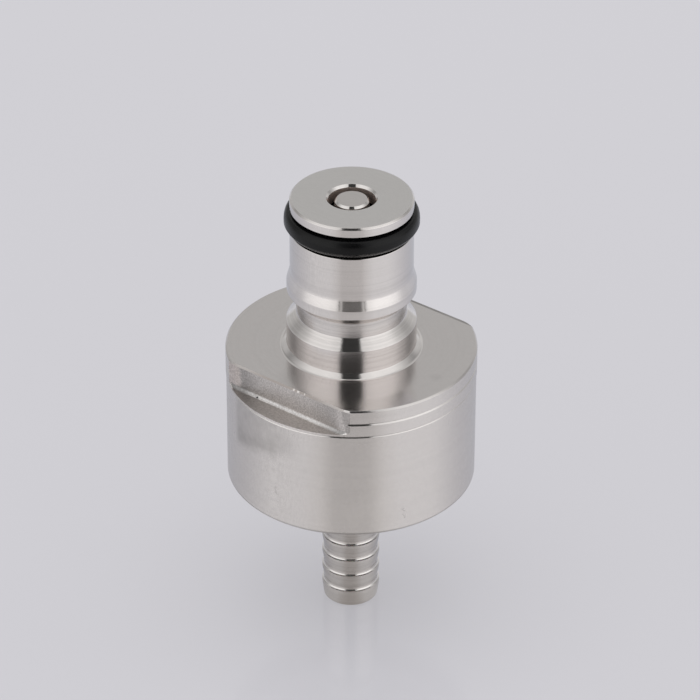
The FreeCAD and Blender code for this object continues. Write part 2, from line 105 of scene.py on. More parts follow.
def place_camera():
    """The camera stands where the photograph was taken from, with the cap a little left of the
    middle."""
    turn, rise = math.radians(AZIMUTH), math.radians(ELEVATION)
    back = Vector((math.sin(turn) * math.cos(rise), -math.cos(turn) * math.cos(rise),
                   math.sin(rise)))
    right = Vector((math.cos(turn), math.sin(turn), 0))
    bpy.ops.object.camera_add(location=TARGET + DISTANCE * back)
    camera = bpy.context.object
    camera.data.lens, camera.data.sensor_width = LENS, 36
    camera.data.clip_start, camera.data.clip_end = 0.01, 50
    aim = TARGET - right * BESIDE - camera.location
    camera.rotation_mode = "QUATERNION"
    camera.rotation_quaternion = (aim.to_track_quat("-Z", "Y").to_matrix()
                                  @ Matrix.Rotation(math.radians(LEAN), 3, "Z")).to_quaternion()
    bpy.context.scene.camera = camera


place_camera()


# Modelling by hand: profiles, turning, cutting and finishing

def nothing_selected():
    bpy.ops.object.select_all(action="DESELECT")


def only(piece):
    """Make one piece the selected and active one."""
    nothing_selected()
    piece.select_set(True)
    bpy.context.view_layer.objects.active = piece


def pick(piece, test, kind="verts"):
    """In edit mode, select the corners or edges that pass a test on their place."""
    bpy.ops.mesh.select_all(action="DESELECT")
    bpy.ops.mesh.select_mode(type="VERT" if kind == "verts" else "EDGE")
    bpy.ops.object.mode_set(mode="OBJECT")
    mesh = piece.data
    if kind == "verts":
        for corner in mesh.vertices:
            corner.select = test(corner.co)
    else:
        for edge in mesh.edges:
            edge.select = test(*(mesh.vertices[number].co for number in edge.vertices))
    bpy.ops.object.mode_set(mode="EDIT")


def draw(name, corners):
    """A closed line drawn on the XZ plane from corner to corner.

    A corner is (radius, height) or (radius, height, rounding), and the rounding is how far from
    the corner its round starts.
    """
    nothing_selected()
    radius, height = corners[0][:2]
    bpy.ops.mesh.primitive_plane_add(size=0.1, location=(radius, 0, height))
    piece = bpy.context.object
    piece.name = name
    bpy.ops.object.transform_apply(location=True, rotation=False, scale=False)
    bpy.ops.object.mode_set(mode="EDIT")
    bpy.ops.mesh.select_mode(type="VERT")
    bpy.ops.mesh.select_all(action="SELECT")
    bpy.ops.mesh.merge(type="CENTER")
    for start, end in zip(corners, corners[1:] + corners[:1]):
        step = (end[0] - start[0], 0, end[1] - start[1])
        bpy.ops.mesh.extrude_vertices_move(TRANSFORM_OT_translate={"value": step})
    bpy.ops.mesh.select_all(action="SELECT")
    bpy.ops.mesh.remove_doubles(threshold=0.0005)
    for size in sorted({corner[2] for corner in corners if len(corner) > 2}):
        spots = [Vector((corner[0], 0, corner[1])) for corner in corners
                 if len(corner) > 2 and corner[2] == size]
        pick(piece, lambda place: any((place - spot).length < 0.001 for spot in spots))
        bpy.ops.mesh.bevel(offset=size, segments=round_steps(size), affect="VERTICES",
                           clamp_overlap=False)
    return piece


def round_steps(size):
    """How many steps a round of this size is drawn in."""
    return 3 if size < 0.12 else 5 if size < 0.5 else 10


def turn_round(piece, steps=STEPS):
    """Turn the drawn line once round the axis."""
    bpy.ops.mesh.select_all(action="SELECT")
    bpy.ops.mesh.spin(steps=steps, angle=math.tau, center=(0, 0, 0), axis=(0, 0, 1))
    bpy.ops.mesh.select_all(action="SELECT")
    bpy.ops.mesh.remove_doubles(threshold=0.0005)
    bpy.ops.mesh.normals_make_consistent(inside=False)
    bpy.ops.object.mode_set(mode="OBJECT")
    return piece


def turned(name, corners, steps=STEPS):
    return turn_round(draw(name, corners), steps)


def apply_modifier(piece, kind, **settings):
    only(piece)
    bpy.ops.object.modifier_add(type=kind)
    modifier = piece.modifiers[-1]
    for key, setting in settings.items():
        setattr(modifier, key, setting)
    bpy.ops.object.modifier_apply(modifier=modifier.name)


def combine(piece, tool, operation):
    """Cut a tool out of a piece, or keep what both share, and clear the tool away."""
    apply_modifier(piece, "BOOLEAN", object=tool, operation=operation, solver="EXACT")
    bpy.data.objects.remove(tool)


def wind(piece, turns, rise, steps):
    """Wind the drawn section round the axis as it rises, with so many steps to a turn."""
    apply_modifier(piece, "SCREW", angle=math.tau * turns, screw_offset=rise,
                   steps=int(steps * turns), render_steps=int(steps * turns), axis="Z",
                   use_merge_vertices=False)


def face_outwards(piece, *others):
    """Join other pieces on to a piece, and turn all its faces outwards."""
    only(piece)
    for other in others:
        other.select_set(True)
    if others:
        bpy.ops.object.join()
    bpy.ops.object.mode_set(mode="EDIT")
    bpy.ops.mesh.select_all(action="SELECT")
    bpy.ops.mesh.normals_make_consistent(inside=False)
    bpy.ops.object.mode_set(mode="OBJECT")


def smooth(piece, angle=38):
    only(piece)
    bpy.ops.object.shade_smooth_by_angle(angle=math.radians(angle))
    apply_modifier(piece, "WEIGHTED_NORMAL", keep_sharp=True, weight=80)


def finish_piece(piece, material, body, slot, *nodes):
    """Millimetres become metres, and the piece rides on its body in place of CAD nodes."""
    only(piece)
    piece.scale = (0.001, 0.001, 0.001)
    bpy.ops.object.transform_apply(location=True, rotation=True, scale=True)
    if material is not None:
        piece.data.materials.clear()
        piece.data.materials.append(material)
    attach(piece, body)
    if nodes:
        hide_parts(*nodes)


# Materials

class Nodes:
    """The nodes of one material, with short words for the usual steps."""

    def __init__(self, name):
        self.material = bpy.data.materials.new(name)
        self.material.use_nodes = True
        self.tree = self.material.node_tree
        self.shader = self.tree.nodes["Principled BSDF"]
        self.place = self.add("ShaderNodeTexCoord").outputs["Object"]

    def add(self, kind, inputs=(), **settings):
        node = self.tree.nodes.new(kind)
        for key, setting in settings.items():
            setattr(node, key, setting)
        for slot, source in dict(inputs).items():
            self.feed(node.inputs[slot], source)
        return node

    def feed(self, socket, source):
        if isinstance(source, bpy.types.NodeSocket):
            self.tree.links.new(source, socket)
        else:
            socket.default_value = source

    def math(self, operation, first, second=0.0):
        return self.add("ShaderNodeMath", {0: first, 1: second}, operation=operation).outputs[0]

    def times(self, first, *others):
        for other in others:
            first = self.math("MULTIPLY", first, other)
        return first

    def plus(self, first, *others):
        for other in others:
            first = self.math("ADD", first, other)
        return first

    def parts(self, place=None):
        """The X, Y and Z of a place, or of where the surface is."""
        place = self.place if place is None else place
        return self.add("ShaderNodeSeparateXYZ", {0: place}).outputs

    def noise(self, place, scale, detail=2.0, roughness=0.5, along=None):
        inputs = {"Vector": place, "Scale": scale, "Detail": detail, "Roughness": roughness}
        if along is None:
            return self.add("ShaderNodeTexNoise", inputs).outputs["Fac"]
        inputs["W"] = along
        return self.add("ShaderNodeTexNoise", inputs, noise_dimensions="4D").outputs["Fac"]

    def ramp(self, source, low, high, from_value=0.0, to_value=1.0):
        return self.add("ShaderNodeMapRange", {
            "Value": source, "From Min": low, "From Max": high,
            "To Min": from_value, "To Max": to_value}).outputs["Result"]

    def profile(self, source, stops):
        """A colour that follows stops of (source, colour), with source from zero to one."""
        ramp = self.add("ShaderNodeValToRGB", {0: source}).color_ramp
        while len(ramp.elements) < len(stops):
            ramp.elements.new(0.5)
        for element, (place, colour) in zip(ramp.elements, stops):
            element.position = place
            element.color = (*colour, 1) if isinstance(colour, tuple) else (colour,) * 3 + (1,)
        return self.tree.nodes[-1].outputs["Color"]

    def mix(self, factor, first, second):
        node = self.add("ShaderNodeMix", {"Factor": factor}, data_type="RGBA")
        self.feed(node.inputs[6], first)
        self.feed(node.inputs[7], second)
        return node.outputs[2]

    def bump(self, height, distance):
        inputs = {"Height": height, "Distance": distance, "Strength": 1.0}
        return self.add("ShaderNodeBump", inputs).outputs["Normal"]

    def spot(self, place, radius, soft=0.0):
        """One within a radius of a place, both in millimetres, falling to zero over a soft
        rim."""
        far = self.add("ShaderNodeVectorMath", {0: self.place, 1: [part / 1000 for part in place]},
                       operation="DISTANCE").outputs["Value"]
        return self.ramp(far, radius / 1000, (radius + soft + 0.02) / 1000, 1.0, 0.0)

    def hold(self, **sockets):
        """Give sockets of the shader a plain value of their own."""
        for name, value in sockets.items():
            self.shader.inputs[name.replace("_", " ")].default_value = value

    def set(self, **sockets):
        """Feed sockets of the shader, and hand out the finished material."""
        for name, source in sockets.items():
            self.feed(self.shader.inputs[name.replace("_", " ")], source)
        return self.material


def shaded(colour, share=1.0):
    """A colour with a share of its brightness, as a socket takes it."""
    return (*(channel * share for channel in colour), 1)


def turned_steel(name, colour, roughness, anisotropy, marks, spread=0.06, smear=0.0, lines=0.1,
                 dull_and_shaded_places=None):
    """Turned stainless steel: fine rings from the tool, uneven gloss and a few soft smears."""
    nodes = Nodes(name)
    x, y, z = nodes.parts()
    radius = nodes.math("SQRT", nodes.plus(nodes.times(x, x), nodes.times(y, y)))
    across = nodes.add("ShaderNodeCombineXYZ", {
        "X": radius, "Y": z, "Z": nodes.times(x, 0.006)}).outputs[0]
    # Round the part the grain changes fast, and the turned lines hardly change
    grain_along = nodes.times(y, 60.0)
    line_along = nodes.times(grain_along, 0.0001)
    fine = nodes.noise(across, 9000.0, 3.0, 0.6, grain_along)
    wide = nodes.noise(across, 1400.0, 2.0, 0.5, grain_along)
    streaks = nodes.noise(across, 3000.0, 3.0, 0.7, line_along)
    cloud = nodes.noise(nodes.place, 160.0, 3.0, 0.55)
    round_axis = nodes.add("ShaderNodeCombineXYZ", {
        "X": nodes.times(y, -1.0), "Y": x, "Z": 0.0}).outputs[0]
    tangent = nodes.add("ShaderNodeVectorMath", {0: round_axis}, operation="NORMALIZE").outputs[0]
    gloss = nodes.plus(nodes.ramp(fine, 0.3, 0.7, -spread, spread),
                       nodes.ramp(cloud, 0.35, 0.7, 0.0, smear), roughness)
    tint = nodes.mix(nodes.ramp(wide, 0.35, 0.65), shaded(colour), shaded(colour, 0.9))
    tint = nodes.mix(nodes.ramp(streaks, 0.46, 0.62, 0.0, lines), tint, shaded(colour, 0.6))
    # The dull places darken the tint and raise the roughness; on the skirt they hold a painted
    # shade line along the rim
    if dull_and_shaded_places:
        dull_and_shaded_share = dull_and_shaded_places(nodes)
        tint = nodes.mix(dull_and_shaded_share, tint, shaded(colour, 0.5))
        gloss = nodes.plus(gloss, nodes.times(dull_and_shaded_share, 0.15))
    nodes.hold(Metallic=1.0, Anisotropic=anisotropy, Anisotropic_Rotation=0.25)
    return nodes.set(Base_Color=tint, Roughness=gloss, Tangent=tangent,
                     Normal=nodes.bump(nodes.plus(nodes.times(fine, 0.5), wide), marks))


SKIRT_MARKS = ((14.05, -7.5, 23.3), (14.12, -7.42, 22.8), (14.12, -7.4, 22.3),
               (14.12, -7.4, 21.9), (0.35, -15.94, 25.2), (0.4, -15.93, 24.8),
               (0.45, -15.93, 24.4))


def handling_marks_and_rim_shade(nodes):
    """The dull patch on the skirt below the wrench flat, two small dull marks lower down and a
    painted shade line along the rim."""
    x, y, z = nodes.parts()
    wave = nodes.math("SUBTRACT", nodes.noise(nodes.place, 420.0, 3.0), 0.5)
    wave = nodes.times(wave, 0.0018)
    border = nodes.plus(nodes.times(x, 0.27), 0.0298)
    above = nodes.plus(nodes.math("SUBTRACT", z, border), wave)
    band = nodes.times(nodes.ramp(above, 0.0006, 0.0012),
                       nodes.ramp(above, 0.0018, 0.0030, 1.0, 0.0))
    blotches = nodes.ramp(nodes.noise(nodes.place, 900.0, 3.0, 0.6), 0.3, 0.7, 0.26, 0.46)
    patch = nodes.times(nodes.plus(blotches, nodes.times(band, 0.14)),
                        nodes.ramp(above, -0.0004, 0.0009), nodes.ramp(x, -0.0078, -0.0068),
                        nodes.ramp(nodes.plus(x, wave), 0.0, 0.0045, 1.0, 0.0),
                        nodes.math("LESS_THAN", y, 0.0))
    marks = 0.0
    for place in SKIRT_MARKS:
        marks = nodes.math("MAXIMUM", nodes.spot(place, 0.16, 0.2), marks)
    ragged = nodes.ramp(nodes.noise(nodes.place, 2600.0, 3.0, 0.6), 0.47, 0.55)
    marks = nodes.times(marks, ragged, 0.35)
    # Painted shade: a dark line along the foot of the skirt, fading out just above the rim chamfer
    painted_rim_shade = nodes.ramp(z, (RIM + 0.33) / 1000, (RIM + 0.47) / 1000, 0.6, 0.0)
    return nodes.math("MAXIMUM", painted_rim_shade, nodes.math("MAXIMUM", patch, marks))


def face_marks(nodes):
    """A dark line along the back edge of the face, and two faint dull spots: a
    small one on the right and a wide one between the collar and the front flat."""
    y = nodes.parts()["Y"]
    line = nodes.times(nodes.ramp(y, 0.01245, 0.0126), nodes.ramp(y, 0.01292, 0.01302, 1.0, 0.0),
                       nodes.ramp(nodes.noise(nodes.place, 500.0), 0.3, 0.6, 0.55, 0.95))
    spots = nodes.plus(nodes.times(nodes.spot((13.3, 0.1, FACE), 0.3, 0.8), 0.12),
                       nodes.times(nodes.spot((0.0, -10.5, FACE), 0.6, 2.6), 0.2))
    return nodes.math("MAXIMUM", line, spots)


# Each turned finish: colour, roughness, anisotropy, depth of its marks, spread of its gloss,
# smear, strength of its turned lines and the places that are dull, which on the skirt take in a
# painted shade line along the rim
face_steel = turned_steel("faced_steel", (0.74, 0.71, 0.695), 0.14, 0.5, 1.0e-6,
                          0.03, 0.05, 0.05, face_marks)
post_steel = turned_steel("turned_post_steel", (0.84, 0.805, 0.785), 0.13, 0.7, 1.0e-6,
                          0.03, 0.0, 0.18)
neck_steel = turned_steel("turned_neck_steel", (0.82, 0.785, 0.765), 0.17, 0.9, 1.6e-6,
                          0.04, 0.0, 0.42)
collar_steel = turned_steel("turned_collar_steel", (0.84, 0.80, 0.785), 0.165, 0.88, 1.0e-6,
                            0.03, 0.0, 0.22)
taper_steel = turned_steel("turned_taper_steel", (0.87, 0.835, 0.815), 0.09, 0.5, 1.0e-6,
                           0.03, 0.0, 0.25)
# Painted highlight: a brighter, glossier cut steel for chamfers and groove walls that face the
# light, and for the barb's steps
bright_edge_painted_highlight = turned_steel("bright_cut_painted_highlight_steel", (0.90, 0.87, 0.85), 0.09, 0.4, 4.0e-7,
                        0.02, 0.0, 0.03)
skirt_steel = turned_steel("satin_skirt_steel", (0.82, 0.785, 0.765), 0.25, 0.9, 1.2e-6,
                           0.04, 0.04, 0.08, handling_marks_and_rim_shade)
top_steel = turned_steel("satin_top_steel", (0.755, 0.738, 0.722), 0.34, 0.4, 1.2e-6,
                         0.05, 0.0, 0.03)
barb_steel = turned_steel("barb_steel", (0.70, 0.665, 0.64), 0.20, 0.7, 2.5e-6, 0.06, 0.0, 0.35)
# Painted shade: a dark steel for the groove walls that face down and for the rim chamfer
groove_painted_shade_steel = turned_steel("groove_painted_shade_steel", (0.46, 0.44, 0.43), 0.30, 0.4, 1.0e-6, 0.03)
pin_steel = turned_steel("pin_steel", (0.70, 0.67, 0.65), 0.38, 0.3, 1.5e-6, 0.05)
hole_steel = turned_steel("stained_hole_steel", (0.86, 0.74, 0.68), 0.45, 0.3, 2.0e-6, 0.05)

# The small pit in the front wrench flat
PIT = (-4.68, -13.2, 35.28)


def milled_steel(name, dull, bright, roughness, depth, painted_shading):
    """Milled stainless steel: grainy, with faint strokes of the cutter, one small pit and painted
    light and shade along the cut. The painted shading is given as (place along the cut in
    millimetres, share of the brightness)."""
    nodes = Nodes(name)
    stretched = nodes.add("ShaderNodeVectorMath", {0: nodes.place, 1: (1.0, 4.0, 4.0)},
                          operation="MULTIPLY").outputs[0]
    strokes = nodes.noise(stretched, 900.0, 4.0, 0.6)
    grain = nodes.noise(nodes.place, 5200.0, 4.0, 0.7)
    lumps = nodes.noise(nodes.place, 900.0, 3.0, 0.6)
    height = nodes.plus(nodes.times(grain, 0.5), nodes.plus(strokes, lumps))
    tint = nodes.mix(nodes.ramp(grain, 0.38, 0.62), shaded(dull), shaded(bright))
    along = nodes.plus(nodes.parts()["X"],
                       nodes.ramp(nodes.noise(nodes.place, 500.0), 0.3, 0.7, -0.0003, 0.0003))
    shade = nodes.profile(nodes.ramp(along, -0.009, 0.009),
                          [((place + 9) / 18, share) for place, share in painted_shading])
    tint = nodes.add("ShaderNodeVectorMath", {0: tint, 1: shade}, operation="MULTIPLY").outputs[0]
    tint = nodes.mix(nodes.spot(PIT, 0.13, 0.06), tint, (0.01, 0.01, 0.01, 1))
    nodes.hold(Metallic=1.0)
    return nodes.set(Base_Color=tint, Normal=nodes.bump(height, depth),
                     Roughness=nodes.ramp(lumps, 0.3, 0.7, roughness - 0.06, roughness + 0.08))


# Painted light and shade along the flat: lighter at its turned-in ends, shaded beside the left end,
# brightest in the middle
flat_steel = milled_steel(
    "milled_flat_steel", (0.52, 0.49, 0.475), (0.82, 0.785, 0.77), 0.45, 1.6e-5,
    [(-8.9, (0.98, 0.94, 0.92)), (-7.9, (0.98, 0.94, 0.92)), (-7.3, 0.66), (-6.6, 0.66),
     (-5.4, 0.86), (-3.6, 1.02), (0.5, 1.08), (3.5, 1.03), (5.6, 0.88), (6.6, 0.83), (7.6, 0.85),
     (8.1, 0.98), (8.8, 1.04), (9.0, 0.78)])
# Painted shade on the ledge, darker towards its left end
ledge_steel = milled_steel(
    "milled_ledge_steel", (0.46, 0.43, 0.41), (0.68, 0.64, 0.615), 0.42, 8.0e-6,
    [(-9.0, 0.62), (-5.5, 0.68), (-2.5, 0.86), (0.5, 0.93), (4.5, 1.0), (9.0, 1.05)])
# Painted highlight along the flat's foot, fading towards both ends
foot_painted_highlight_steel = milled_steel(
    "milled_foot_painted_highlight_steel", (0.70, 0.675, 0.66), (0.98, 0.96, 0.95), 0.5, 1.0e-5,
    [(-9.0, 0.42), (-6.8, 0.5), (-5.4, 0.8), (-3.5, 0.98), (4.0, 1.04), (6.0, 0.86), (7.5, 0.70),
     (9.0, 0.55)])
# Wear and a painted highlight along the band below the ledge, brightest right of the middle
worn_edge_highlight_steel = milled_steel(
    "worn_edge_painted_highlight_steel", (0.66, 0.62, 0.60), (0.92, 0.885, 0.865), 0.34, 6.0e-6,
    [(-9.0, 0.8), (-5.0, 0.88), (-2.0, 1.05), (3.0, 1.15), (6.0, 1.0), (9.0, 0.9)])


NICKS = ((0.9, 1.15), (1.55, 1.9), (2.65, 2.8))


def nicked_steel():
    """The broken edge of a wrench flat: dull, darker in its middle and lighter towards both
    ends, with small bright nicks near its middle.
    """
    nodes = Nodes("nicked_edge_steel")
    grain = nodes.noise(nodes.place, 5200.0, 4.0, 0.7)
    along = nodes.parts()["X"]
    bright = 0.0
    for start, end in NICKS:
        inside = nodes.times(nodes.math("GREATER_THAN", along, start / 1000),
                             nodes.math("LESS_THAN", along, end / 1000))
        bright = nodes.plus(inside, bright)
    lighter_ends = nodes.math("MAXIMUM", nodes.ramp(along, -0.0065, -0.0035, 1.0, 0.0),
                      nodes.ramp(along, 0.0045, 0.0065))
    tint = nodes.mix(lighter_ends, (0.50, 0.455, 0.43, 1), (0.60, 0.565, 0.545, 1))
    tint = nodes.mix(bright, tint, (0.80, 0.76, 0.74, 1))
    nodes.hold(Metallic=1.0)
    return nodes.set(Base_Color=tint, Normal=nodes.bump(grain, 4.0e-6),
                     Roughness=nodes.ramp(bright, 0.0, 1.0, 0.4, 0.2))


edge_steel = nicked_steel()


def rubber(name, colour, roughness, dusty_below=0.0):
    """Moulded rubber: a soft even sheen, faint dust and shallow waves."""
    nodes = Nodes(name)
    waves = nodes.noise(nodes.place, 700.0, 3.0, 0.5)
    dust = nodes.noise(nodes.place, 6000.0, 4.0, 0.7)
    specks = nodes.ramp(dust, 0.62, 0.75, 0.0, 0.5)
    if dusty_below:
        low = nodes.ramp(nodes.parts()["Z"], (dusty_below - 0.25) / 1000,
                         (dusty_below + 0.15) / 1000, 1.0, 0.0)
        smudge = nodes.ramp(nodes.noise(nodes.place, 1500.0, 4.0, 0.7), 0.45, 0.7)
        specks = nodes.math("MAXIMUM", specks, nodes.times(low, smudge))
    tint = nodes.mix(specks, shaded(colour), (0.055, 0.051, 0.048, 1))
    nodes.hold(Specular_IOR_Level=0.28)
    return nodes.set(Base_Color=tint,
                     Roughness=nodes.ramp(waves, 0.3, 0.7, roughness - 0.05, roughness + 0.08),
                     Normal=nodes.bump(nodes.plus(waves, nodes.times(dust, 0.2)), 1.0e-5))


def plastic(name, colour, roughness, through=0.0):
    """Moulded plastic or silicone, a little translucent where it is asked."""
    nodes = Nodes(name)
    cloud = nodes.noise(nodes.place, 500.0, 3.0, 0.5)
    tint = nodes.mix(nodes.ramp(cloud, 0.3, 0.7), shaded(colour), shaded(colour, 0.93))
    nodes.hold(Subsurface_Weight=through, Subsurface_Scale=0.001)
    return nodes.set(Base_Color=tint, Normal=nodes.bump(cloud, 1.0e-5),
                     Roughness=nodes.ramp(cloud, 0.3, 0.7, roughness, roughness + 0.1))


def spring_steel():
    """Drawn wire: fine streaks and a dull grey gloss."""
    nodes = Nodes("spring_wire")
    streaks = nodes.noise(nodes.place, 2500.0, 4.0, 0.6)
    nodes.hold(Metallic=1.0)
    tint = nodes.mix(streaks, (0.50, 0.50, 0.50, 1), (0.62, 0.61, 0.60, 1))
    return nodes.set(Base_Color=tint, Roughness=nodes.ramp(streaks, 0.3, 0.7, 0.22, 0.34),
                     Normal=nodes.bump(streaks, 2.0e-6))


black_rubber = rubber("black_rubber", (0.002, 0.002, 0.0025), 0.26)
post_rubber = rubber("black_post_rubber", (0.002, 0.002, 0.0025), 0.26, 56.6)
acetal = plastic("white_acetal", (0.82, 0.82, 0.80), 0.4)
silicone = plastic("clear_silicone", (0.78, 0.78, 0.76), 0.45, 0.4)
wire = spring_steel()


# Cap body: post, collar, face, shoulder lines, skirt, bore and valve chamber in one turned piece

def make_cap_body():
    shell = turned("cap_shell", [
        (HOLE_RADIUS + HOLE_CHAMFER, TOP, 0.04),
        (FLANGE_RADIUS - FLANGE_CHAMFER, TOP, 0.05),
        (FLANGE_RADIUS, TOP - FLANGE_CHAMFER, 0.05),
        (FLANGE_RADIUS, GLAND_TOP, 0.06),
        (GLAND_RADIUS, GLAND_TOP, 0.1),
        (GLAND_RADIUS, GLAND_FOOT, 0.1),
        (BARREL_RADIUS, GLAND_FOOT, 0.1),
        (BARREL_RADIUS, FLARE_TOP, 0.2),
        (BULGE_RADIUS, BULGE_TOP, 0.06),
        (BULGE_RADIUS, BULGE_FOOT, 0.08),
        (NECK_RADIUS, NECK_TOP, 0.1),
        (NECK_RADIUS, NECK_FOOT, 0.08),
        (COLLAR_RADIUS, SHOULDER_FOOT, 0.05),
        (COLLAR_RADIUS, SLOPE_TOP, 0.05),
        (SLOPE_RADIUS, FACE, 0.22),
        (CAP_RADIUS - 0.2, FACE, 0.04),
        (CAP_RADIUS, FACE - 0.2, 0.04),
        (CAP_RADIUS, UPPER_LINE + GROOVE, 0.02),
        (CAP_RADIUS - GROOVE, UPPER_LINE, 0.02),
        (CAP_RADIUS, UPPER_LINE - GROOVE, 0.02),
        (CAP_RADIUS, LOWER_LINE + GROOVE, 0.02),
        (CAP_RADIUS - GROOVE, LOWER_LINE, 0.02),
        (SKIRT_RADIUS, LOWER_LINE - GROOVE + 0.06, 0.02),
        (SKIRT_RADIUS, RIM + RIM_CHAMFER, 0.06),
        (SKIRT_RADIUS - RIM_CHAMFER, RIM, 0.06),
        (BORE_RADIUS + BORE_CHAMFER, RIM, 0.05),
        (BORE_RADIUS, RIM + BORE_CHAMFER, 0.05),
        (BORE_RADIUS, ROOF, 0.2),
        (BOSS_RADIUS, ROOF, 0.05),
        (BOSS_RADIUS, ROOF + BOSS_HEIGHT, 0.1),
        (SCREW_RADIUS, ROOF + BOSS_HEIGHT, 0.05),
        (SCREW_RADIUS, CHAMBER_FOOT - (SCREW_RADIUS - CHAMBER_RADIUS)),
        (CHAMBER_RADIUS, CHAMBER_FOOT),
        (CHAMBER_RADIUS, CONE_FOOT),
        (HOLE_RADIUS, THROAT_FOOT, 0.05),
        (HOLE_RADIUS, TOP - HOLE_CHAMFER, 0.05),
    ])
    for side in (1, -1):
        combine(shell, flat_cutter(side), "DIFFERENCE")
    return shell


def flat_cutter(side):
    """The block cut out for a wrench flat: a rounded foot, ends turned in and a broken top edge."""
    lean, reach, edge = math.radians(30), 18.0, 0.2
    end_round, foot_round = 4.0 * math.tan(lean / 2), 0.45
    end = FLAT_HALF_LENGTH + end_round
    run_out = -FLAT_DISTANCE + (reach - end) * math.tan(lean)
    plan = [(-reach, run_out), (-end, -FLAT_DISTANCE), (end, -FLAT_DISTANCE), (reach, run_out),
            (reach, -reach), (-reach, -reach)]
    nothing_selected()
    bpy.ops.mesh.primitive_circle_add(vertices=len(plan), radius=1, fill_type="NGON")
    block = bpy.context.object
    for corner, (x, y) in zip(block.data.vertices, plan):
        corner.co = (x, side * y, LEDGE)
    bpy.ops.object.mode_set(mode="EDIT")
    pick(block, lambda place: abs(place.y + side * FLAT_DISTANCE) < 0.001)
    bpy.ops.mesh.bevel(offset=end_round, segments=10, affect="VERTICES")
    bpy.ops.mesh.select_mode(type="FACE")
    bpy.ops.mesh.select_all(action="SELECT")
    for rise, shift in ((FACE - LEDGE - edge, 0.0), (edge, edge), (1.0, 1.0)):
        bpy.ops.mesh.extrude_region_move(TRANSFORM_OT_translate={"value": (0, side * shift, rise)})
    bpy.ops.mesh.select_all(action="SELECT")
    bpy.ops.mesh.normals_make_consistent(inside=False)
    pick(block, lambda first, last: max(first.z, last.z) < LEDGE + 0.001
         and min(side * first.y, side * last.y) > -14, "edges")
    bpy.ops.mesh.bevel(offset=foot_round, segments=6, affect="EDGES", clamp_overlap=False)
    bpy.ops.object.mode_set(mode="OBJECT")
    return block


cap_shell = make_cap_body()
smooth(cap_shell)
finish_piece(cap_shell, None, "cap", "turned_steel", "cap_body")


def zone_of(place, normal):
    """The finish that a face of the cap body has, by its place in millimetres and its direction."""
    radius, mouth = math.hypot(place.x, place.y), HOLE_RADIUS + HOLE_CHAMFER
    if (abs(place.y) > FLAT_DISTANCE - 0.25 and radius < CAP_RADIUS - 0.13
            and LEDGE - 0.01 < place.z < FACE - 0.005):
        # The ledge, the foot and the flat carry painted light and shade along the cut, the foot a
        # painted highlight
        if normal.z > 0.95:
            return ledge_steel
        if place.z > FACE - 0.25:
            return edge_steel
        return foot_painted_highlight_steel if normal.z > 0.1 else flat_steel
    # The edges where a flat's ends meet the skirt take the flat's finish with its painted shading
    if (abs(place.y) > FLAT_DISTANCE - 0.6 and LEDGE < place.z < FACE - 0.3
            and normal.xy.length > 0.9):
        if normal.xy.normalized().dot(place.xy.normalized()) < 0.985:
            return flat_steel
    # Shoulder grooves: walls that face up get a painted highlight, walls that face down and the rim
    # chamfer get painted shade
    if (CAP_RADIUS - 0.4 < radius < CAP_RADIUS - 0.01 and abs(normal.z) > 0.3
            and place.z < FACE - 1):
        if place.z > LOWER_LINE - GROOVE - 0.1:
            return bright_edge_painted_highlight if normal.z > 0 else groove_painted_shade_steel
        if RIM < place.z < RIM + RIM_CHAMFER and normal.z < 0:
            return groove_painted_shade_steel
    # The band below the ledge: wear, with a painted highlight
    if LOWER_LINE + 0.1 < place.z < LEDGE + 0.01 and radius > CAP_RADIUS - 0.1:
        return worn_edge_highlight_steel
    if radius < mouth + 0.05 and TOP - 3 < place.z < TOP - HOLE_CHAMFER - 0.01:
        return hole_steel
    # The hole's chamfer gets a painted highlight
    if radius < mouth + 0.05 and place.z > TOP - HOLE_CHAMFER - 0.01 and normal.z < 0.9:
        return bright_edge_painted_highlight
    if place.z > TOP - 0.01 and radius > mouth - 0.05:
        return top_steel
    if (SHOULDER_FOOT - 0.35 < place.z < BULGE_FOOT
            and NECK_RADIUS - 0.1 < radius < BULGE_RADIUS + 0.15):
        return neck_steel if abs(normal.z) < 0.3 else taper_steel
    if (FACE + 0.01 < place.z < SLOPE_TOP + 0.06 and normal.z > 0.2
            and COLLAR_RADIUS - 0.05 < radius < SLOPE_RADIUS + 0.25):
        return taper_steel
    if (FACE + 0.5 < place.z < NECK_FOOT and abs(normal.z) < 0.2
            and COLLAR_RADIUS - 0.05 < radius < COLLAR_RADIUS + 0.25):
        return collar_steel
    if place.z > FACE + 0.01 or radius < COLLAR_RADIUS - 0.05:
        return post_steel
    return face_steel if place.z > FACE - 0.3 else skirt_steel


def paint(piece, zone, *finishes):
    """Give each zone of a piece its own finish."""
    piece.data.materials.clear()
    for finish in finishes:
        piece.data.materials.append(finish)
    for face in piece.data.polygons:
        face.material_index = finishes.index(zone(face.center * 1000, face.normal))


paint(cap_shell, zone_of, post_steel, face_steel, skirt_steel, top_steel, flat_steel, ledge_steel,
      foot_painted_highlight_steel, worn_edge_highlight_steel, edge_steel, hole_steel, neck_steel, bright_edge_painted_highlight, collar_steel,
      taper_steel, groove_painted_shade_steel)


# Rubber ring on the post, pressed a little square outside, with the fine lip that its mould leaves
# Places round the outer half of its section, as shares of half its thickness
RING_OUTSIDE = ((0.0, -0.99), (0.2, -0.96), (0.42, -0.88), (0.6, -0.77), (0.76, -0.62),
                (0.88, -0.46), (0.94, -0.35), (0.985, -0.28), (0.985, -0.1), (0.985, 0.1),
                (0.965, 0.32), (0.92, 0.52), (0.84, 0.71), (0.72, 0.86), (0.55, 0.955),
                (0.25, 0.995))


